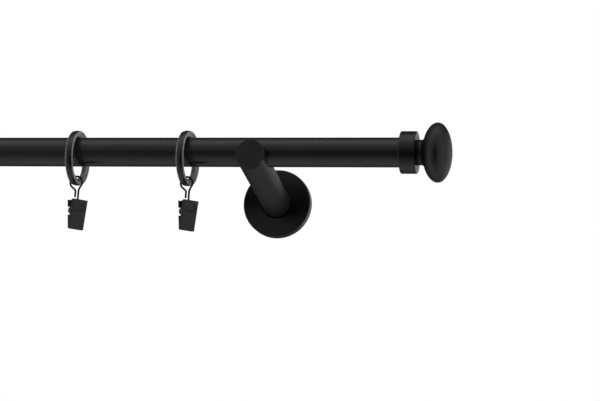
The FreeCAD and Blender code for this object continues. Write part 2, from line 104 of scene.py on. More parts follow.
def skin(name, points, wrap_u=True, smooth_below=40.0):
    """Mesh over a grid of points[u, v]: one four-sided face for each cell, joined round u if wrap_u is set.

    Points that meet, as at a pole or a seam, are merged, and the faces are turned to point outwards.
    """
    count_u, count_v = points.shape[:2]
    index = np.arange(count_u * count_v).reshape(count_u, count_v)
    if wrap_u:
        index = np.concatenate([index, index[:1]])
    faces = np.stack([index[:-1, :-1], index[1:, :-1], index[1:, 1:], index[:-1, 1:]], axis=-1)
    faces = faces.reshape(-1, 4)
    mesh = bpy.data.meshes.new(name)
    mesh.vertices.add(count_u * count_v)
    mesh.vertices.foreach_set("co", points.astype(np.float32).ravel())
    mesh.loops.add(faces.size)
    mesh.loops.foreach_set("vertex_index", faces.astype(np.int32).ravel())
    mesh.polygons.add(len(faces))
    mesh.polygons.foreach_set("loop_start", np.arange(0, faces.size, 4, dtype=np.int32))
    mesh.update(calc_edges=True)
    clean = bmesh.new()
    clean.from_mesh(mesh)
    bmesh.ops.remove_doubles(clean, verts=clean.verts, dist=1e-7)
    bmesh.ops.dissolve_degenerate(clean, edges=clean.edges, dist=1e-8)
    bmesh.ops.recalc_face_normals(clean, faces=clean.faces)
    clean.to_mesh(mesh)
    clean.free()
    mesh.shade_smooth()
    mesh.set_sharp_from_angle(angle=math.radians(smooth_below))
    piece = bpy.data.objects.new(name, mesh)
    bpy.context.scene.collection.objects.link(piece)
    return piece


def spun(outline, centre, axis, segments=96):
    """Grid of an outline of (distance along the axis, radius) pairs carried round the axis.

    Point(turn, k) = centre + along[k] axis + radius[k] (cos(turn) side + sin(turn) up).
    """
    axis = np.asarray(axis, float) / np.linalg.norm(axis)
    side = np.cross(axis, Z_AXIS if abs(axis[2]) < 0.9 else X_AXIS)
    side /= np.linalg.norm(side)
    up = np.cross(axis, side)
    turn = np.linspace(0, 2 * np.pi, segments, endpoint=False)[:, None, None]
    along, radius = np.asarray(outline, float).T[:, None, :, None]
    return np.asarray(centre) + along * axis + radius * (np.cos(turn) * side + np.sin(turn) * up)


def finish_piece(piece, material, slot, body, *replaced):
    """Gives a piece its material and the body it moves with, and hides the CAD nodes it stands for; slot is not
    used.
    """
    piece.data.materials.append(material)
    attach(piece, body)
    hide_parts(*replaced)


def effect(name, inputs, outputs):
    """An empty shader node group with named sockets; returns it with its input and output nodes."""
    group = bpy.data.node_groups.new(name, "ShaderNodeTree")
    for label, kind, value in inputs:
        group.interface.new_socket(label, in_out="INPUT", socket_type=kind).default_value = value
    for label, kind in outputs:
        group.interface.new_socket(label, in_out="OUTPUT", socket_type=kind)
    return group, group.nodes.new("NodeGroupInput"), group.nodes.new("NodeGroupOutput")


def noise(tree, vector, scale, detail=2.0, roughness=0.5):
    """Noise node: scale is in features per metre."""
    node = tree.nodes.new("ShaderNodeTexNoise")
    node.inputs["Detail"].default_value = detail
    node.inputs["Roughness"].default_value = roughness
    tree.links.new(vector, node.inputs["Vector"])
    if isinstance(scale, (int, float)):
        node.inputs["Scale"].default_value = scale
    else:
        tree.links.new(scale, node.inputs["Scale"])
    return node.outputs["Fac"]


def formula(tree, operation, first, second=0.0, third=0.0, clamp=False):
    """Math node: operation on sockets or plain numbers."""
    node = tree.nodes.new("ShaderNodeMath")
    node.operation = operation
    node.use_clamp = clamp
    for socket, value in zip(node.inputs, (first, second, third)):
        if isinstance(value, (int, float)):
            socket.default_value = value
        else:
            tree.links.new(value, socket)
    return node.outputs[0]


def spread(tree, value, low, high, new_low, new_high):
    """Map Range node: value from low..high to new_low..new_high, clamped."""
    node = tree.nodes.new("ShaderNodeMapRange")
    for label, number in (("From Min", low), ("From Max", high), ("To Min", new_low), ("To Max", new_high)):
        if isinstance(number, (int, float)):
            node.inputs[label].default_value = number
        else:
            tree.links.new(number, node.inputs[label])
    tree.links.new(value, node.inputs["Value"])
    return node.outputs["Result"]


def blended(tree, amount, first, second):
    """Mix node for colours: first where amount is 0 and second where it is 1."""
    node = tree.nodes.new("ShaderNodeMix")
    node.data_type = "RGBA"
    for socket, value in ((node.inputs[0], amount), (node.inputs[6], first), (node.inputs[7], second)):
        if isinstance(value, (int, float, tuple)):
            socket.default_value = value
        else:
            tree.links.new(value, socket)
    return node.outputs[2]


# Coating effect: a fine grain, slower waves in the film, and a slight change of tone and gloss from
# place to place.
coating, coating_in, coating_out = effect(
    "cured coating",
    [("Vector", "NodeSocketVector", (0, 0, 0)), ("Colour", "NodeSocketColor", (0.03, 0.03, 0.03, 1)),
     ("Grain per metre", "NodeSocketFloat", 2600.0), ("Gloss", "NodeSocketFloat", 0.45),
     ("Gloss change", "NodeSocketFloat", 0.06), ("Tone change", "NodeSocketFloat", 0.25)],
    [("Colour", "NodeSocketColor"), ("Roughness", "NodeSocketFloat"), ("Height", "NodeSocketFloat")],
)
fine = noise(coating, coating_in.outputs["Vector"], coating_in.outputs["Grain per metre"], 3.0, 0.6)
slow = noise(coating, coating_in.outputs["Vector"], 130.0, 2.0)
drift = noise(coating, coating_in.outputs["Vector"], 35.0, 1.0)
tone = formula(coating, "ADD", formula(coating, "MULTIPLY", fine, 0.5),
               formula(coating, "MULTIPLY", drift, 0.5))
tone_shift = formula(coating, "MULTIPLY_ADD", formula(coating, "SUBTRACT", tone, 0.5),
                     coating_in.outputs["Tone change"], 0.0)
lighter = blended(coating, formula(coating, "MULTIPLY_ADD", tone_shift, 0.6, 0.04, clamp=True),
                  coating_in.outputs["Colour"], (0.03, 0.03, 0.031, 1.0))
coating.links.new(lighter, coating_out.inputs["Colour"])
gloss = formula(coating, "MULTIPLY_ADD", formula(coating, "SUBTRACT", slow, 0.5),
                coating_in.outputs["Gloss change"], coating_in.outputs["Gloss"])
coating.links.new(gloss, coating_out.inputs["Roughness"])
waves = formula(coating, "MULTIPLY_ADD", slow, 0.6, formula(coating, "MULTIPLY", fine, 0.4))
coating.links.new(waves, coating_out.inputs["Height"])

# Dust effect: a thin pale film on faces that look up, broken by noise.
dust, dust_in, dust_out = effect(
    "settled dust",
    [("Vector", "NodeSocketVector", (0, 0, 0)), ("Colour", "NodeSocketColor", (0.03, 0.03, 0.03, 1)),
     ("Amount", "NodeSocketFloat", 0.05)],
    [("Colour", "NodeSocketColor"), ("Mask", "NodeSocketFloat")],
)
facing = dust.nodes.new("ShaderNodeNewGeometry")
split = dust.nodes.new("ShaderNodeSeparateXYZ")
dust.links.new(facing.outputs["Normal"], split.inputs[0])
upward = spread(dust, split.outputs[2], 0.35, 1.0, 0.0, 1.0)
specks = spread(dust, noise(dust, dust_in.outputs["Vector"], 900.0, 4.0, 0.7), 0.42, 0.72, 0.2, 1.0)
film = formula(dust, "MULTIPLY", formula(dust, "MULTIPLY", upward, specks), dust_in.outputs["Amount"],
               clamp=True)
dust.links.new(blended(dust, film, dust_in.outputs["Colour"], (0.42, 0.41, 0.39, 1.0)),
               dust_out.inputs["Colour"])
dust.links.new(film, dust_out.inputs["Mask"])

# Worn and glinting edges: a brighter tone along edges, where the piece's "edge" attribute is high; on most
# finishes it is the coat worn thin, and on the ring bands it is a painted highlight.
edge_wear_and_glint, edge_wear_and_glint_in, edge_wear_and_glint_out = effect(
    "rubbed edges",
    [("Vector", "NodeSocketVector", (0, 0, 0)), ("Colour", "NodeSocketColor", (0.03, 0.03, 0.03, 1)),
     ("Bright", "NodeSocketColor", (0.3, 0.3, 0.3, 1)), ("Roughness", "NodeSocketFloat", 0.4),
     ("Amount", "NodeSocketFloat", 0.5)],
    [("Colour", "NodeSocketColor"), ("Roughness", "NodeSocketFloat")],
)
edge = edge_wear_and_glint.nodes.new("ShaderNodeAttribute")
edge.attribute_name = "edge"
broken = spread(edge_wear_and_glint, noise(edge_wear_and_glint, edge_wear_and_glint_in.outputs["Vector"], 700.0, 4.0, 0.65), 0.35, 0.75, 0.35, 1.0)
rubbed_and_glinting = formula(edge_wear_and_glint, "MULTIPLY", formula(edge_wear_and_glint, "MULTIPLY", edge.outputs["Fac"], broken),
                 edge_wear_and_glint_in.outputs["Amount"], clamp=True)
edge_wear_and_glint.links.new(blended(edge_wear_and_glint, rubbed_and_glinting, edge_wear_and_glint_in.outputs["Colour"], edge_wear_and_glint_in.outputs["Bright"]),
               edge_wear_and_glint_out.inputs["Colour"])
edge_wear_and_glint.links.new(formula(edge_wear_and_glint, "MULTIPLY_ADD", rubbed_and_glinting, -0.12, edge_wear_and_glint_in.outputs["Roughness"]),
               edge_wear_and_glint_out.inputs["Roughness"])


def coated(name, colour, gloss, grain, bump, dust_amount=0.04, edge_wear_and_glint_amount=0.4, specular=0.5,
           gloss_change=0.06, tone_change=0.25, bright=(0.3, 0.3, 0.3, 1.0), metallic=0.0):
    """A painted or plated finish: coating, then brighter edges (a worn coat, and on the ring bands a painted
    highlight), then dust, into one Principled shader.
    """
    material = bpy.data.materials.new(name)
    material.use_nodes = True
    tree = material.node_tree
    shader = tree.nodes["Principled BSDF"]
    shader.inputs["Specular IOR Level"].default_value = specular
    shader.inputs["Metallic"].default_value = metallic
    place = tree.nodes.new("ShaderNodeTexCoord").outputs["Object"]
    parts = []
    for group in (coating, edge_wear_and_glint, dust):
        node = tree.nodes.new("ShaderNodeGroup")
        node.node_tree = group
        tree.links.new(place, node.inputs["Vector"])
        parts.append(node)
    film, edge_rub_and_glint, settled = parts
    film.inputs["Colour"].default_value = colour
    film.inputs["Grain per metre"].default_value = grain
    film.inputs["Gloss"].default_value = gloss
    film.inputs["Gloss change"].default_value = gloss_change
    film.inputs["Tone change"].default_value = tone_change
    edge_rub_and_glint.inputs["Bright"].default_value = bright
    edge_rub_and_glint.inputs["Amount"].default_value = edge_wear_and_glint_amount
    settled.inputs["Amount"].default_value = dust_amount
    tree.links.new(film.outputs["Colour"], edge_rub_and_glint.inputs["Colour"])
    tree.links.new(film.outputs["Roughness"], edge_rub_and_glint.inputs["Roughness"])
    tree.links.new(edge_rub_and_glint.outputs["Colour"], settled.inputs["Colour"])
    tree.links.new(settled.outputs["Colour"], shader.inputs["Base Color"])
    rougher = formula(tree, "MULTIPLY_ADD", settled.outputs["Mask"], 0.5, edge_rub_and_glint.outputs["Roughness"])
    tree.links.new(rougher, shader.inputs["Roughness"])
    bump_node = tree.nodes.new("ShaderNodeBump")
    bump_node.inputs["Strength"].default_value = 1.0
    bump_node.inputs["Distance"].default_value = bump
    tree.links.new(film.outputs["Height"], bump_node.inputs["Height"])
    tree.links.new(bump_node.outputs["Normal"], shader.inputs["Normal"])
    return material


def mark_edges(piece, distance_to_edge, width):
    """Stores the attribute edge on each vertex: exp(-(d / width)^2), d being its distance to an edge."""
    spots = np.empty(len(piece.data.vertices) * 3, np.float32)
    piece.data.vertices.foreach_get("co", spots)
    near = np.exp(-((distance_to_edge(spots.reshape(-1, 3).astype(float)) / width) ** 2))
    layer = piece.data.attributes.new("edge", "FLOAT", "POINT")
    layer.data.foreach_set("value", near.astype(np.float32))


powder_coat = coated("matt black powder coat", (0.0025, 0.0025, 0.0026, 1.0), 0.22, 2600.0, 0.000002,
                     0.002, 0.1)

half_rod = (rod_high.x - rod_low.x) / 2
rod_centre = np.array([(rod_low.x + rod_high.x) / 2, rod_y, rod_z])
bore = rod_radius - rod_wall
tube_outline = [(-half_rod, (rod_radius + bore) / 2), (-half_rod, rod_radius)]
tube_outline += [(half_rod, rod_radius), (half_rod, bore), (0.0, bore), (-half_rod, bore)]
tube_outline += [(-half_rod, (rod_radius + bore) / 2)]
rod = skin("rod", spun(softened(tube_outline, 0.25 * MM), rod_centre, X_AXIS, 128))
mark_edges(rod, lambda p: half_rod - np.abs(p[:, 0] - rod_centre[0]), 0.4 * MM)
finish_piece(rod, powder_coat, "black_powder_coat", "root", "rod_tube")

# ------------------------------------------------------------------------------------------------ brackets
# Each arm is solid bar sawn from the same stock as the rod, with a milled saddle that the rod drops into.
# A pressed rosette slides on the arm and hides the wall plate; a thin cap hides the lock screw at the front.

ARM_RUN = np.array(joints["rosette_right_slide"]["axis"], float)
rosette_wall = 1.5 * MM
rosette_lip = 0.9 * MM


def rosette_surface(low, high):
    """Cover with a slanting hole: the outline runs up the side, over the rounded edge and across the front.

    At a share s of the way from the front's rim to the hole, the point is (1 - s) rim(turn) + s hole(turn),
    and the hole is an ellipse centred on the arm's axis, with radii r across and r / cos(tilt) upright.
    """
    outer = (high.x - low.x) / 2
    centre_x = (low.x + high.x) / 2
    front, back = low.y, high.y
    tilt = math.atan2(ARM_RUN[2], -ARM_RUN[1])
    hole = rod_radius + 0.4 * MM
    turn = np.linspace(0, 2 * np.pi, 128, endpoint=False)
    circle = np.stack([np.cos(turn), np.sin(turn)], axis=-1)
    ellipse = circle * np.array([hole, hole / math.cos(tilt)])
    rim = outer * 0.75
    side = softened([(back, outer - rosette_wall / 2), (back, outer), (front, outer), (front, rim)],
                    [0, 0.3 * MM, rosette_lip, 0], 7)
    rings = [(y, circle * radius) for y, radius in side]
    break_edge = 0.35 * MM
    for share in (0.5, 0.9):
        rings.append((front, (1 - share) * circle * rim + share * ellipse))
    rings.append((front, ellipse * (1 + break_edge / hole)))
    rings.append((front + break_edge * 0.3, ellipse * (1 + break_edge * 0.3 / hole)))
    rings.append((front + break_edge, ellipse))
    inner_front = front + rosette_wall
    shift = np.array([0.0, -rosette_wall * math.tan(tilt)])
    rings.append((inner_front, ellipse + shift))
    rings.append((inner_front, circle * (outer - rosette_wall)))
    rings.append((back, circle * (outer - rosette_wall)))
    rings.append((back, circle * (outer - rosette_wall / 2)))
    return np.stack([
        np.stack([centre_x + xz[:, 0], np.full(len(turn), y), xz[:, 1]], axis=-1) for y, xz in rings
    ], axis=1)


def cap_outline(thickness, radius, edge_cut):
    """Disc with a broken front edge; along is measured from its back face."""
    return softened([(0, 0), (0, radius), (thickness, radius), (thickness, 0)], [0, 0.1 * MM, edge_cut, 0], 5)


zinc = coated("bright zinc plate", (0.42, 0.42, 0.41, 1.0), 0.33, 1400.0, 0.000008, 0.03, 0.2, 0.5,
              0.12, 0.5, (0.7, 0.7, 0.7, 1.0), 1.0)
# the bar's coat is the rod's black painted about ten times lighter, standing in for the light that falls on the
# arm
arm_coat_painted_lighter = coated("matt black powder coat on bar", (0.024, 0.024, 0.0225, 1.0), 0.40, 2600.0, 0.00001,
                  0.003, 0.3)
CAP_THICKNESS = 1.5 * MM

for hand in ("right", "left"):
    body = "rosette_" + hand
    node = "bracket_" + hand + "_rosette"
    low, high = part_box(node)
    cover = skin(node.replace("_rosette", "_cover"), rosette_surface(low, high))
    cover_x, cover_edge = (low.x + high.x) / 2, (high.x - low.x) / 2
    mark_edges(cover, lambda p: np.hypot(
        np.hypot(p[:, 0] - cover_x, p[:, 2]) - cover_edge, p[:, 1] - low.y), 0.7 * MM)
    finish_piece(cover, powder_coat, "black_powder_coat", body, node)

    node = "bracket_" + hand + "_front_cap"
    low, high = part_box(node)
    centre = np.array([(low.x + high.x) / 2, low.y + CAP_THICKNESS, (low.z + high.z) / 2])
    disc = cap_outline(CAP_THICKNESS, (high.x - low.x) / 2, 0.35 * MM)
    cap = skin("bracket_" + hand + "_cap_disc", spun(disc, centre, -Y_AXIS, 96))
    mark_edges(cap, lambda p: np.hypot(
        np.hypot(p[:, 0] - centre[0], p[:, 2] - centre[2]) - rod_radius, p[:, 1] - low.y), 0.5 * MM)
    finish_piece(cap, powder_coat, "black_powder_coat", "root", node)

    for part, material in (("_arm", arm_coat_painted_lighter), ("_wall_plate", zinc)):
        shown = nodes["bracket_" + hand + part].data
        shown.materials.clear()
        shown.materials.append(material)

# Screws: zinc plated steel with a rolled thread and a hexagonal key socket.


def screw_surface(head, thread, tail, start, axis, head_radius, thread_radius, pitch, key, key_depth,
                  segments=72):
    """Screw from its head at start along axis, as radius over turn and distance along.

    The thread is radius = R - depth |2 frac(along / pitch - turn / 2 pi) - 1|, and the socket's wall is the
    hexagon radius = key cos(30) / cos(turn mod 60 - 30).
    """
    axis = np.asarray(axis, float)
    side = X_AXIS if abs(axis[0]) < 0.5 else Z_AXIS
    up = np.cross(axis, side)
    turn = np.linspace(0, 2 * np.pi, segments, endpoint=False)
    hexagon = key * math.cos(math.pi / 6) / np.cos(np.mod(turn, np.pi / 3) - np.pi / 6)
    rows = [(key_depth, hexagon * 0.0), (key_depth, hexagon), (0.0, hexagon)]
    round_row = np.ones(segments)
    rows += [(0.0, round_row * head_radius), (head, round_row * max(thread_radius, head_radius * 0.55))]
    along = np.arange(head + pitch / 8, head + thread, pitch / 8)
    depth = 0.55 * pitch
    for station in along:
        phase = np.mod(station / pitch - turn / (2 * np.pi), 1.0)
        fade = min(1.0, (station - head) / pitch, (head + thread - station) / pitch)
        rows.append((station, thread_radius - depth * fade * np.abs(2 * phase - 1)))
    end = head + thread + tail
    rows += [(end, round_row * (thread_radius - depth)), (end, round_row * 0.0)]
    return np.stack([
        start + d * axis + radius[:, None] * (np.cos(turn)[:, None] * side + np.sin(turn)[:, None] * up)
        for d, radius in rows
    ], axis=1)


def pair_of_screws(name, node, make):
    """Two equal screws, one for each bracket, which stand together for one node."""
    low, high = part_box(node)
    for suffix, side in (("_left", -1), ("_right", 1)):
        screw = skin(name + suffix, make(side, low, high), smooth_below=55.0)
        finish_piece(screw, zinc, "zinc_screw", "root", node)


def lock_screw(side, low, high):
    """The rod's grub screw, its socket towards the room."""
    radius = (high.z - low.z) / 2
    start = np.array([side * (high.x - radius), low.y, (low.z + high.z) / 2])
    return screw_surface(0.3 * MM, 2.2 * MM, 0.3 * MM, start, Y_AXIS, radius * 0.9, radius, 0.8 * MM,
                         radius / 2, 1.4 * MM)


def arm_bolt(side, low, high):
    """The arm's countersunk bolt, its head flush in the wall plate's back."""
    radius = (high.z - low.z) / 2
    start = np.array([side * (high.x - radius), high.y, (low.z + high.z) / 2])
    return screw_surface(2.5 * MM, 11.5 * MM, 0.9 * MM, start, -Y_AXIS, radius, 3.0 * MM, 1.0 * MM,
                         2.0 * MM, 2.4 * MM)


pair_of_screws("lock_screw", "rod_lock_screws", lock_screw)
pair_of_screws("arm_bolt", "arm_bolts", arm_bolt)

# ------------------------------------------------------------------------------------------------ finials
# A finial is two turned pieces: a collar with softened rims that sleeves over the rod's end, and a flattened
# ball whose neck screws into it. Both are powder coated, and a grub screw at the back holds them.

NECK = 8.1 * MM
NECK_LENGTH = 4.2 * MM
BALL_INNER = 9.8 * MM
COLLAR_WALL = 1.75 * MM
SPIGOT = 3.0 * MM
SPIGOT_LENGTH = 7.0 * MM
SPIGOT_HOLE = 3.05 * MM
FINIAL_GAP = 0.05 * MM


def collar_outline(length, radius):
    """Sleeve in half section, from the hole in its end wall round the outside and back along its bore."""
    collar_bore, wall_x = rod_radius + FINIAL_GAP, length - COLLAR_WALL
    corners = [(length, SPIGOT_HOLE), (length, radius), (0, radius), (0, collar_bore), (wall_x, collar_bore),
               (wall_x, SPIGOT_HOLE), (length, SPIGOT_HOLE)]
    return softened(corners, [0, 0.8 * MM, 0.8 * MM, 0.2 * MM, 0.1 * MM, 0, 0], 9)


def knob_outline(ball_radius, length):
    """Spigot and neck, then two half ellipses that meet at the widest circle: R sqrt(1 - (x / half)^2)."""
    start = math.asin(NECK / ball_radius)
    inner = np.linspace(start, np.pi / 2, 28)
    outer = np.linspace(0, np.pi / 2, 36)[1:]
    widest = NECK_LENGTH + BALL_INNER * math.cos(start)
    inner_half = np.stack([widest - BALL_INNER * np.cos(inner), ball_radius * np.sin(inner)], axis=-1)
    outer_half = np.stack([widest + (length - widest) * np.sin(outer), ball_radius * np.cos(outer)], -1)
    outer_half[-1, 1] = 0.0
    fillet = 1.3 * MM
    bend = np.linspace(0, np.pi / 2, 8)
    # the small cove where the neck spreads into the ball
    cove = np.stack([inner_half[0, 0] - fillet * np.cos(bend) * 0.9,
                     NECK + fillet * 0.35 * (1 - np.cos(bend))], axis=-1)
    neck = np.array([(-SPIGOT_LENGTH, 0.0), (-SPIGOT_LENGTH, SPIGOT - 0.4 * MM),
                     (0.4 * MM - SPIGOT_LENGTH, SPIGOT), (0.0, SPIGOT), (0.0, NECK - 0.3 * MM),
                     (0.1 * MM, NECK - 0.1 * MM), (0.3 * MM, NECK)])
    return np.concatenate([neck, [(inner_half[0, 0] - fillet, NECK)], cove[1:-1], inner_half[1:], outer_half])


knob_coat = coated("matt black powder coat on ball", (0.007, 0.007, 0.007, 1.0), 0.42, 2600.0, 0.00001,
                   0.003, 0.1)

for hand, sign in (("right", 1.0), ("left", -1.0)):
    body = "finial_" + hand
    low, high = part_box(body + "_collar")
    start_x = low.x if sign > 0 else high.x
    centre = np.array([start_x, rod_y, rod_z])
    collar_length, collar_radius = high.x - low.x, (high.z - low.z) / 2
    section = collar_outline(collar_length, collar_radius)
    collar = skin(body + "_sleeve", spun(section, centre, sign * X_AXIS, 128))
    mark_edges(collar, lambda p: np.hypot(
        collar_radius - np.hypot(p[:, 1] - rod_y, p[:, 2] - rod_z),
        np.minimum(np.abs(p[:, 0] - low.x), np.abs(high.x - p[:, 0]))), 0.5 * MM)
    finish_piece(collar, powder_coat, "black_powder_coat", body, body + "_collar")

    face_x = (high.x if sign > 0 else low.x) + sign * FINIAL_GAP
    low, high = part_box(body + "_knob")
    tip_x = high.x if sign > 0 else low.x
    knob_radius = (high.z - low.z) / 2
    centre = np.array([face_x, rod_y, rod_z])
    section = knob_outline(knob_radius, abs(tip_x - face_x))
    knob = skin(body + "_ball", spun(section, centre, sign * X_AXIS, 128))
    finish_piece(knob, knob_coat, "black_powder_coat", body, body + "_knob")

    low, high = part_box(body + "_grub_screw")
    radius = (high.z - low.z) / 2
    start = np.array([(low.x + high.x) / 2, high.y, (low.z + high.z) / 2])
    thread_grid = screw_surface(0.3 * MM, high.y - low.y - 0.6 * MM, 0.3 * MM, start, -Y_AXIS,
                                radius * 0.9, radius, 0.7 * MM, radius / 2, 1.6 * MM)
    grub = skin(body + "_grub", thread_grid, smooth_below=55.0)
    finish_piece(grub, zinc, "zinc_screw", body, body + "_grub_screw")

# ------------------------------------------------------------------------------------------------ rings
# A ring is a rolled steel band, black nickel plated, with a crowned outside; its turned sides are painted near
# white as a highlight.
# A grey nylon liner snaps into it, and is worn a little paler where it runs on the rod.

ring_count = sum(1 for name in joints if name.startswith("ring_"))
RING_OUTER = 18.0 * MM
RING_INNER = 16.5 * MM
RING_WIDTH = 5.0 * MM
RING_CROWN = 0.5 * MM
LINER_OUTER = 16.45 * MM
LINER_INNER = 13.8 * MM
LINER_WIDTH = 4.6 * MM
LINER_BORE_WIDTH = 2.6 * MM


def ring_outline():
    """Closed section of the band: plain inside and sides, and outside the crown R - crown (x / half)^2."""
    half = RING_WIDTH / 2
    crown = np.linspace(half, -half, 13)
    outside = [(x, RING_OUTER - RING_CROWN * (x / half) ** 2) for x in crown]
    corners = [(0, RING_INNER), (half, RING_INNER)] + outside + [(-half, RING_INNER), (0, RING_INNER)]
    cuts = np.zeros(len(corners))
    cuts[[1, -2]] = 0.2 * MM
    cuts[[2, -3]] = 0.3 * MM
    return softened(corners, cuts, 6)


def liner_outline():
    """Closed section of the liner: it narrows from the ring to its bore, with rounded lips."""
    half, bore_half = LINER_WIDTH / 2, LINER_BORE_WIDTH / 2
    shoulder = LINER_OUTER - 0.3 * MM
    corners = [(0, LINER_INNER), (bore_half, LINER_INNER), (half, shoulder), (half, LINER_OUTER),
               (-half, LINER_OUTER), (-half, shoulder), (-bore_half, LINER_INNER), (0, LINER_INNER)]
    return softened(corners, np.array([0, 0.5, 0.15, 0.1, 0.1, 0.15, 0.5, 0]) * MM, 6)


# the band's edge tone, near white at full amount, is a painted highlight on its sides
plating = coated("black nickel plate", (0.014, 0.014, 0.013, 1.0), 0.26, 1800.0, 0.000008, 0.0, 1.0, 0.6,
                 0.10, 0.35, (0.8, 0.8, 0.76, 1.0), 0.15)
nylon = coated("liner nylon", (0.36, 0.36, 0.34, 1.0), 0.28, 1200.0, 0.00001, 0.0, 1.0, 0.8, 0.08, 0.2,
               (0.42, 0.42, 0.40, 1.0))

for index in range(ring_count):
    ring_node = "ring_" + str(index + 1)
    swing = np.array(joints["hook_" + str(index + 1) + "_swing"]["axis"], float)
    along = np.array([swing[1], -swing[0], 0.0])
    centre = middle(ring_node)

    def off_axis(points):
        """Distance of each point from the ring's own axis."""
        return np.linalg.norm((points - centre) - np.outer((points - centre) @ along, along), axis=1)

    band = skin(ring_node + "_band", spun(ring_outline(), centre, along, 144))
    # marks the band's sides for the painted highlight
    mark_edges(band, lambda p: RING_WIDTH / 2 - np.abs((p - centre) @ along), 0.5 * MM)
    finish_piece(band, plating, "plated_ring", ring_node, ring_node)
    sleeve = skin(ring_node + "_sleeve", spun(liner_outline(), centre, along, 144))
    mark_edges(sleeve, lambda p: np.maximum(off_axis(p) - LINER_INNER - 0.2 * MM, 0), 0.35 * MM)
    finish_piece(sleeve, nylon, "nylon_liner", ring_node, ring_node + "_liner")

# ------------------------------------------------------------------------------------------------ hooks
# A hook is one length of blackened spring wire: an open loop through the ring, a short free end, and a stem
# that drops through the clip's top and ends in an upset head, so that the clip can turn on it.

WIRE = 0.65 * MM
LOOP = 4.05 * MM
STEM_SIDE = {"end": 2.0 * MM, "slant": math.radians(30.0), "bend": 6.0 * MM}
LEG_SIDE = {"end": 0.05 * MM, "slant": math.radians(50.0), "bend": 1.6 * MM}
FREE_LEG = 3.4 * MM
HEAD_THICKNESS = 0.9 * MM


def arc_points(centre, radius, first, last, count):
    """Points centre + radius (cos t, sin t) in the (across, up) plane for t from first to last."""
    t = np.linspace(first, last, count)
    return np.stack([centre[0] + radius * np.cos(t), centre[1] + radius * np.sin(t)], axis=-1)


def wire_leaving_loop(end, slant, bend):
    """The wire below the loop on its right: a slanted run in line with the loop, then an arc down to upright.

    The loop's centre is (0, 0), the run leaves it at (LOOP cos slant, -LOOP sin slant), and the arc ends at
    across = end.
    """
    neck = LOOP * np.array([math.cos(slant), -math.sin(slant)])
    run = (neck[0] - end - bend * (1 - math.cos(slant))) / math.sin(slant)
    run_end = neck - run * np.array([math.sin(slant), math.cos(slant)])
    centre = run_end + bend * np.array([math.cos(slant), -math.sin(slant)])
    arc = arc_points(centre, bend, math.pi - slant, math.pi, 10)
    return np.concatenate([np.linspace(neck, run_end, 8)[1:], arc[1:]])


def hook_path(stem_length):
    """The wire's middle line in the (across, up) plane, from its free end to the stem's foot."""
    stem_side = wire_leaving_loop(**STEM_SIDE)
    leg_side = wire_leaving_loop(**LEG_SIDE)[::-1] * [-1, 1]
    loop = arc_points((0, 0), LOOP, math.pi + LEG_SIDE["slant"], -STEM_SIDE["slant"], 72)
    free_end = leg_side[0] - [0, FREE_LEG]
    foot = np.array([stem_side[-1, 0], -stem_length])
    return np.concatenate([np.linspace(free_end, leg_side[0], 4)[:-1], leg_side, loop, stem_side,
                           np.linspace(stem_side[-1], foot, 6)[1:]])


def wire_surface(spots, radii, flat, sides=20):
    """A round wire of changing radius along a path of points, flat being a direction square to the path.

    Point(k, turn) = spot[k] + radius[k] (cos(turn) n[k] + sin(turn) b[k]), with n = flat x tangent and
    b = tangent x n.
    """
    tangent = np.gradient(spots, axis=0)
    tangent /= np.linalg.norm(tangent, axis=1)[:, None]
    normal = np.cross(np.broadcast_to(flat, tangent.shape), tangent)
    normal /= np.linalg.norm(normal, axis=1)[:, None]
    other = np.cross(tangent, normal)
    turn = np.linspace(0, 2 * np.pi, sides, endpoint=False)[:, None, None]
    return spots + radii[:, None] * (np.cos(turn) * normal + np.sin(turn) * other)


def domed(spots, radii, steps=5):
    """Adds a dome at the path's start: points that step out by radius sin(t), with radii radius cos(t)."""
    t = np.linspace(np.pi / 2, 0, steps)[:-1]
    first = (spots[0] - spots[1]) / np.linalg.norm(spots[0] - spots[1])
    return (np.concatenate([spots[0] + radii[0] * np.sin(t)[:, None] * first, spots]),
            np.concatenate([radii[0] * np.cos(t), radii]))


wire_black = coated("blackened wire", (0.010, 0.010, 0.010, 1.0), 0.36, 1500.0, 0.00001, 0.0, 0.2, 0.5,
                    0.1, 0.3)

for index in range(ring_count):
    hook_node = "hook_" + str(index + 1)
    joint = joints[hook_node + "_swing"]
    swing = np.array(joint["axis"], float)
    across = np.array([swing[1], -swing[0], 0.0])
    loop_centre = np.array(joint["pos_m"], float)
    stem = loop_centre[2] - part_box(hook_node)[0].z - HEAD_THICKNESS / 2
    path = hook_path(stem)
    radii = np.full(len(path), WIRE)
    # the upset head: the wire spreads to a small button round the stem's foot and closes below it
    button = np.array([(0.5, 1.0), (0.48, 1.7), (0.3, 2.08), (-0.3, 2.08), (-0.48, 1.8), (-0.5, 0.0)])
    path = np.concatenate([path[:-1], path[-1] + button[:, :1] * [0, HEAD_THICKNESS]])
    radii = np.concatenate([radii[:-1], button[:, 1] * WIRE])
    spots = loop_centre + path[:, :1] * across + path[:, 1:] * Z_AXIS
    spots, radii = domed(spots, radii)
    hook = skin(hook_node + "_wire", wire_surface(spots, radii, swing), smooth_below=50.0)
    finish_piece(hook, wire_black, "wire_steel", hook_node, hook_node)

# ------------------------------------------------------------------------------------------------ clips
# A clip is two jaws pressed from thin black steel, each with folded sides whose ears meet on a riveted pin.
# A torsion spring round the pin keeps the mouth shut; pinching the flared tops opens it.

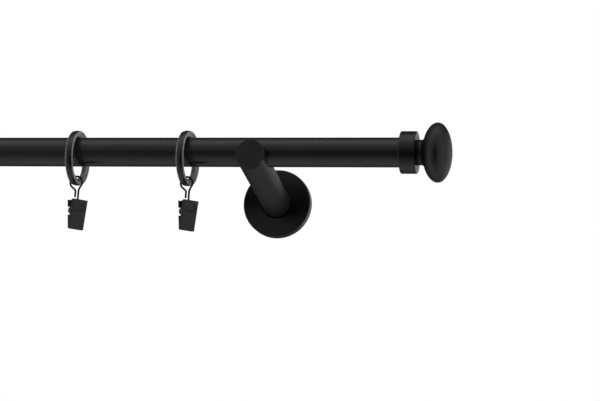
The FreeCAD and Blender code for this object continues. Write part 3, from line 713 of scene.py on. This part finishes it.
JAW_TOP = 5.5 * MM
JAW_FOOT = 5.45 * MM
JAW_HEIGHT = 19.5 * MM
PIN_DROP = 7.4 * MM
JAW_DEPTH = 3.2 * MM
MOUTH_DEPTH = 0.86 * MM
SHEET = 0.7 * MM
FLARE = math.tan(math.radians(12.0))
EAR = 1.7 * MM
FOLD = 1.1 * MM
FLANGE = 1.2 * MM
NOTCH_DEPTH = 2.0 * MM
NOTCH_HEIGHT = 1.1 * MM
CORNER = 0.6 * MM
SIDE_SHARE = 0.22  # how much of the way across the sheet each folded side takes


def smoothstep(low, high, value):
    """3 t^2 - 2 t^3 with t = (value - low) / (high - low) held between 0 and 1."""
    t = np.clip((value - low) / (high - low), 0.0, 1.0)
    return t * t * (3 - 2 * t)


def rounded_corner(distance):
    """How far a side draws in at d from the sheet's end: CORNER (1 - sqrt(1 - (1 - d / CORNER)^2))."""
    short = 1 - np.clip(distance / CORNER, 0, 1)
    return CORNER * (1 - np.sqrt(1 - short**2))


def jaw_surface(ear_inset, notch, top, rows=120, columns=120):
    """One jaw's outer skin over height (row) and the way across it (column), in the clip's own axes.

    The way across runs from one folded side's edge, round the fold, over the front, and down the other
    side. The front lies JAW_DEPTH from the pin, flares out above it and closes to the mouth below it.
    A side is as deep as FLANGE, but at the pin it is an ear with the round edge
    depth + sqrt(EAR^2 - rise^2), moved in by ear_inset. Above and below the ear the side draws in by
    notch, where the sheet is cut so that it can fold.
    """
    foot = PIN_DROP - JAW_HEIGHT
    fine_rows = np.linspace(-3.0 * MM, 3.0 * MM, 100)  # more rows round the ear
    rise = np.unique(np.concatenate([np.linspace(foot, top, rows), fine_rows]))[:, None]
    bend = 0.25 * MM
    above = 0.5 * (rise + np.sqrt(rise**2 + bend**2))
    below = above - rise
    depth = JAW_DEPTH + above * FLARE - below * (JAW_DEPTH - MOUTH_DEPTH) / -foot
    width = JAW_FOOT + (JAW_TOP - JAW_FOOT) * (rise - foot) / (PIN_DROP - foot)
    off_ear = smoothstep(EAR, EAR + 0.12 * MM, np.abs(rise))
    off_notch = smoothstep(EAR + NOTCH_HEIGHT - 0.12 * MM, EAR + NOTCH_HEIGHT, np.abs(rise))
    width = width - ear_inset * (1 - off_ear) - notch * off_ear * (1 - off_notch)
    width = width - rounded_corner(rise - foot)
    flange = np.minimum(FLANGE, 0.95 * depth) - 0.6 * rounded_corner(rise - foot)
    ear = depth + np.sqrt(np.clip(EAR**2 - rise**2, 0, None))
    side = np.where(np.abs(rise) < EAR, np.maximum(flange, ear), flange)
    share = np.linspace(-1, 1, columns)[None, :]
    across = np.clip(share / (1 - SIDE_SHARE), -1, 1)
    down = np.clip((np.abs(share) - (1 - SIDE_SHARE)) / SIDE_SHARE, 0, 1)
    flat_end = 1 - FOLD / width
    round_in = np.clip((np.abs(across) - flat_end) / (1 - flat_end), 0, 1) * np.pi / 2
    x = np.where(round_in > 0, np.sign(across) * (width - FOLD + FOLD * np.sin(round_in)), across * width)
    y = -depth + FOLD * (1 - np.cos(round_in)) + down * np.maximum(side - FOLD, 0.05 * MM)
    return x, y, np.broadcast_to(rise, x.shape)


def pressed_tongue(x, y, z):
    """Presses a half-round tongue out of the front, from nothing at its round top to a straight lower lip.

    With q = hypot(x / half, rise) it is where q < 1, and a shallow dent surrounds it where q < 1.25.
    """
    lip_z, reach, half = 0.35 * MM, 3.9 * MM, 3.3 * MM
    rise = (z - lip_z) / reach
    q = np.hypot(x / half, np.clip(rise, 0, None))
    inside = smoothstep(1.0, 0.86, q) * smoothstep(-0.02, 0.03, rise)
    dent = smoothstep(1.25, 1.02, q) * (1 - inside)
    dent = dent * smoothstep(-0.14, -0.02, rise)
    return y - 0.5 * MM * inside * np.clip(1.1 - 0.8 * rise, 0, 1) + 0.22 * MM * dent


def in_place(x, y, z, yaw, spot):
    """Turns clip axes about the vertical by yaw and moves them to the pin's middle."""
    return np.stack([spot[0] + x * math.cos(yaw) - y * math.sin(yaw),
                     spot[1] + x * math.sin(yaw) + y * math.cos(yaw), spot[2] + z], axis=-1)


def thicken(piece, thickness):
    """Gives the sheet its thickness, inwards from its outer skin."""
    wall = piece.modifiers.new("sheet", "SOLIDIFY")
    wall.thickness = thickness
    wall.offset = -1.0
    wall.use_rim = True


def facing_away(piece, centre):
    """Turns an open sheet's faces over if they look towards the clip's middle."""
    count = len(piece.data.polygons)
    normals, spots = np.empty(count * 3, np.float32), np.empty(count * 3, np.float32)
    piece.data.polygons.foreach_get("normal", normals)
    piece.data.polygons.foreach_get("center", spots)
    outward = np.sum((spots.reshape(-1, 3) - centre) * normals.reshape(-1, 3))
    if outward < 0:
        piece.data.flip_normals()


def lozenge(half_x, half_y, thickness, centre):
    """Flat plate with round corners, in rows from its middle to its edge: |x / a|^6 + |y / b|^6 = 1."""
    turn = np.linspace(0, 2 * np.pi, 72, endpoint=False)
    cosine, sine = np.cos(turn), np.sin(turn)
    reach = (np.abs(cosine) ** 6 + np.abs(sine) ** 6) ** (-1 / 6)
    edge_x, edge_y = half_x * reach * cosine, half_y * reach * sine
    cut = 0.12 * MM
    half = thickness / 2
    inset = 1 - cut / half_x
    rows = [(0, half), (inset, half), (1, half - cut), (1, cut - half), (inset, -half), (0, -half)]
    return [np.stack([centre[i] + part for part in parts], axis=1) for i, parts in enumerate((
        [share * edge_x for share, _ in rows], [share * edge_y for share, _ in rows],
        [np.full(len(turn), height) for _, height in rows]))]


clip_black = coated("black clip steel", (0.044, 0.045, 0.039, 1.0), 0.42, 1600.0, 0.00001, 0.0, 0.4, 0.5,
                    0.12, 0.5, (0.16, 0.16, 0.155, 1.0))
spring_steel = coated("spring steel", (0.20, 0.20, 0.19, 1.0), 0.32, 1200.0, 0.000006, 0.0, 0.1, 0.5,
                      0.1, 0.4, (0.6, 0.6, 0.6, 1.0), 1.0)
PIN_RADIUS = 0.75 * MM
PIN_HEAD = 1.65 * MM
PIN_HALF = 5.4 * MM
HEAD_RISE = 0.4 * MM
COIL = 1.35 * MM
COIL_WIRE = 0.25 * MM
COIL_HALF = 3.4 * MM
SPRING_LEG = 5.0 * MM
TURN_POINTS = 28  # points in each turn of the coil
OVERLAP = 2  # points that the spring's two parts share, which is more than the jaw's swing


def pin_outline():
    """Rivet in half section: a shank between two low domed heads."""
    dome = np.linspace(0, np.pi / 2, 7)
    head = np.stack([PIN_HALF + HEAD_RISE * np.sin(dome), PIN_HEAD * np.cos(dome)], axis=-1)
    head[-1, 1] = 0.0
    right_half = np.concatenate([[(PIN_HALF, PIN_RADIUS)], head])
    return np.concatenate([right_half[::-1] * [-1, 1], right_half])


def spring_path():
    """Close coil about the pin with a straight leg at each end: (COIL cos t, COIL sin t), t / 2 pi along.

    It comes in two parts, the front leg with nearly half a turn, which moves with the front jaw, and all
    the rest.
    """
    turns = round(COIL_HALF / COIL_WIRE - 1) + 0.5
    t = np.linspace(0, turns * 2 * np.pi, int(turns * TURN_POINTS))
    share = t / t[-1] * 2 - 1
    coil = np.stack([share * (COIL_HALF - COIL_WIRE), -COIL * np.cos(t), -COIL * np.sin(t)], axis=-1)
    reach = SPRING_LEG * FLARE + JAW_DEPTH - SHEET - 2.5 * COIL_WIRE
    up = np.linspace(1, 0, 6)[:-1, None]
    leg = coil[0] + up * np.array([0, -(reach - COIL), SPRING_LEG])
    split = len(t) // (2 * round(turns))
    back_leg = (leg * [-1, -1, 1])[::-1]
    return np.concatenate([leg, coil[:split]]), np.concatenate([coil[split - OVERLAP:], back_leg])


for index in range(ring_count):
    clip = "clip_" + str(index + 1)
    joint = joints[clip + "_open"]
    pin_line = -np.array(joint["axis"], float)
    yaw = math.atan2(pin_line[1], pin_line[0])
    pin_spot = np.array(joint["pos_m"], float)

    for sign, part, body, sizes in ((1, "_front", clip + "_jaw", (0.0, 0.0, 7.0 * MM)),
                                    (-1, "_back", clip, (SHEET + 0.15 * MM, NOTCH_DEPTH, PIN_DROP))):
        x, y, z = jaw_surface(*sizes)
        sheet = in_place(sign * x, sign * pressed_tongue(x, y, z), z, yaw, pin_spot)
        jaw = skin(clip + part, sheet, False, smooth_below=60.0)
        facing_away(jaw, pin_spot)
        thicken(jaw, SHEET)
        finish_piece(jaw, clip_black, "clip_steel", body, clip + part + "_jaw")

    tab_front, tab_back = -1.3 * MM, JAW_DEPTH + PIN_DROP * FLARE - 0.3 * MM
    x, y, z = lozenge(4.0 * MM, (tab_back - tab_front) / 2, 0.8 * MM,
                      (0.0, (tab_front + tab_back) / 2, PIN_DROP - 0.4 * MM))
    tab = skin(clip + "_tab", in_place(x, y, z, yaw, pin_spot))
    tab.data.materials.append(clip_black)
    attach(tab, clip)

    rivet = skin(clip + "_rivet", spun(pin_outline(), pin_spot, pin_line, 40))
    finish_piece(rivet, clip_black, "clip_steel", clip, clip + "_pin")
    for path, part_name, body in zip(spring_path(), ("_spring_leg", "_coil"), (clip + "_jaw", clip)):
        spots = in_place(path[:, 0], path[:, 1], path[:, 2], yaw, pin_spot)
        radii = np.full(len(spots), COIL_WIRE)
        spots, radii = domed(spots, radii)
        spots, radii = domed(spots[::-1], radii[::-1])
        spring = skin(clip + part_name, wire_surface(spots, radii, pin_line, 10), smooth_below=60.0)
        finish_piece(spring, spring_steel, "spring_steel", body, clip + "_spring")

# ------------------------------------------------------------------------------------------------ room
# A pale floor well below the object, a shaded surround, and two soft panels: one overhead, one low behind
# the wall's plane on the right.

FLOOR_Z = -0.75
FLOOR_HALF = 30.0
floor_mesh = bpy.data.meshes.new("floor")
floor_corners = ((-1, -1), (1, -1), (1, 1), (-1, 1))
floor_mesh.from_pydata([(x * FLOOR_HALF, y * FLOOR_HALF, FLOOR_Z) for x, y in floor_corners], [], [(0, 1, 2, 3)])
floor = bpy.data.objects.new("floor", floor_mesh)
bpy.context.scene.collection.objects.link(floor)
pale = bpy.data.materials.new("pale floor")
pale.use_nodes = True
pale_shader = pale.node_tree.nodes["Principled BSDF"]
pale_shader.inputs["Base Color"].default_value = (0.86, 0.86, 0.85, 1.0)
pale_shader.inputs["Roughness"].default_value = 0.8
pale_shader.inputs["Emission Color"].default_value = (1.0, 1.0, 0.99, 1.0)
pale_shader.inputs["Emission Strength"].default_value = 0.4
floor_mesh.materials.append(pale)
floor.visible_glossy = False  # the black coat mirrors only the shaded surround, never the floor
floor.visible_diffuse = False  # and the floor's own glow does not lift the rod's dark middle

# The camera's place is worked out first, because the lights are set round its line of sight.
VIEW_TURN = math.radians(12.828)
VIEW_RISE = math.radians(12.136)
forward = np.array([-math.sin(VIEW_TURN) * math.cos(VIEW_RISE), math.cos(VIEW_TURN) * math.cos(VIEW_RISE),
                    math.sin(VIEW_RISE)])

world = bpy.data.worlds.new("studio")
bpy.context.scene.world = world
world.use_nodes = True
sky = world.node_tree
backdrop = sky.nodes["Background"]
backdrop.inputs["Color"].default_value = (1.0, 1.0, 1.0, 1.0)
# brightness over the cosine of the angle from the viewer's side: dark towards the viewer, bright to the
# sides, above and below, and dim beyond the wall
SURROUND = [(-1.0, 0.02), (-0.8, 0.05), (-0.55, 0.16), (-0.32, 0.42), (-0.1, 0.56), (0.1, 0.6),
            (0.3, 0.58), (0.45, 0.54), (0.6, 0.43), (0.75, 0.32), (0.86, 0.15), (0.93, 0.03),
            (0.97, 0.005), (1.0, 0.0)]
dark_side = -forward + np.array([0.0, 0.0, -0.1])
heading = sky.nodes.new("ShaderNodeTexCoord").outputs["Generated"]
dot = sky.nodes.new("ShaderNodeVectorMath")
dot.operation = "DOT_PRODUCT"
dot.inputs[1].default_value = tuple(dark_side / np.linalg.norm(dark_side))
sky.links.new(heading, dot.inputs[0])
ramp = sky.nodes.new("ShaderNodeValToRGB")
ramp.color_ramp.interpolation = "B_SPLINE"
while len(ramp.color_ramp.elements) < len(SURROUND):
    ramp.color_ramp.elements.new(0.5)
for stop, (cosine, level) in zip(ramp.color_ramp.elements, SURROUND):
    stop.position = (cosine + 1) / 2
for stop, (cosine, level) in zip(ramp.color_ramp.elements, SURROUND):
    stop.color = (level, level, level, 1.0)
sky.links.new(spread(sky, dot.outputs["Value"], -1.0, 1.0, 0.0, 1.0), ramp.inputs["Fac"])
ray = sky.nodes.new("ShaderNodeLightPath")
seen_or_spill = sky.nodes.new("ShaderNodeMix")  # the camera sees plain white, and all else the surround
seen_or_spill.inputs[3].default_value = 1.0
sky.links.new(ramp.outputs["Color"], seen_or_spill.inputs[2])
sky.links.new(ray.outputs["Is Camera Ray"], seen_or_spill.inputs[0])
sky.links.new(seen_or_spill.outputs[0], backdrop.inputs["Strength"])


def panel(name, spot, aim, width, height, watts):
    """A soft rectangular light at spot that faces aim and isn't itself seen."""
    lamp = bpy.data.lights.new(name, "AREA")
    lamp.shape = "RECTANGLE"
    lamp.size, lamp.size_y = width, height
    lamp.energy = watts
    holder = bpy.data.objects.new(name, lamp)
    bpy.context.scene.collection.objects.link(holder)
    holder.location = spot
    holder.rotation_mode = "QUATERNION"
    holder.rotation_quaternion = (Vector(aim) - Vector(spot)).to_track_quat("-Z", "Y")
    holder.visible_camera = False


panel("overhead", (0.3, -0.4, 1.5), (0.2, rod_y, 0.0), 2.4, 1.2, 3.0)
panel("behind", (0.75, 1.55, 0.15), (0.2, rod_y, 0.0), 1.7, 1.0, 2.2)

# The camera stands below and to the right of the rod and looks up at it, tilted so that the rod lies level.
LENS_WIDTHS = 3.02473  # focal length as a multiple of the sensor's width
SENSOR = 36.0
VIEW_ROLL = math.radians(3.157)
VIEW_DISTANCE = 1.15152
aim = np.array([0.32786, rod_y, -0.01243])
right = np.cross(forward, Z_AXIS)
right /= np.linalg.norm(right)
above = np.cross(right, forward)
rolled_right = right * math.cos(VIEW_ROLL) + above * math.sin(VIEW_ROLL)
rolled_above = above * math.cos(VIEW_ROLL) - right * math.sin(VIEW_ROLL)
camera_data = bpy.data.cameras.new("camera")
camera_data.sensor_width = SENSOR
camera_data.lens = SENSOR * LENS_WIDTHS
camera = bpy.data.objects.new("camera", camera_data)
bpy.context.scene.collection.objects.link(camera)
camera.matrix_world = Matrix([
    [rolled_right[i], rolled_above[i], -forward[i], (aim - forward * VIEW_DISTANCE)[i]] for i in range(3)
] + [[0, 0, 0, 1]])
bpy.context.scene.camera = camera
bpy.context.scene.view_settings.view_transform = "Standard"
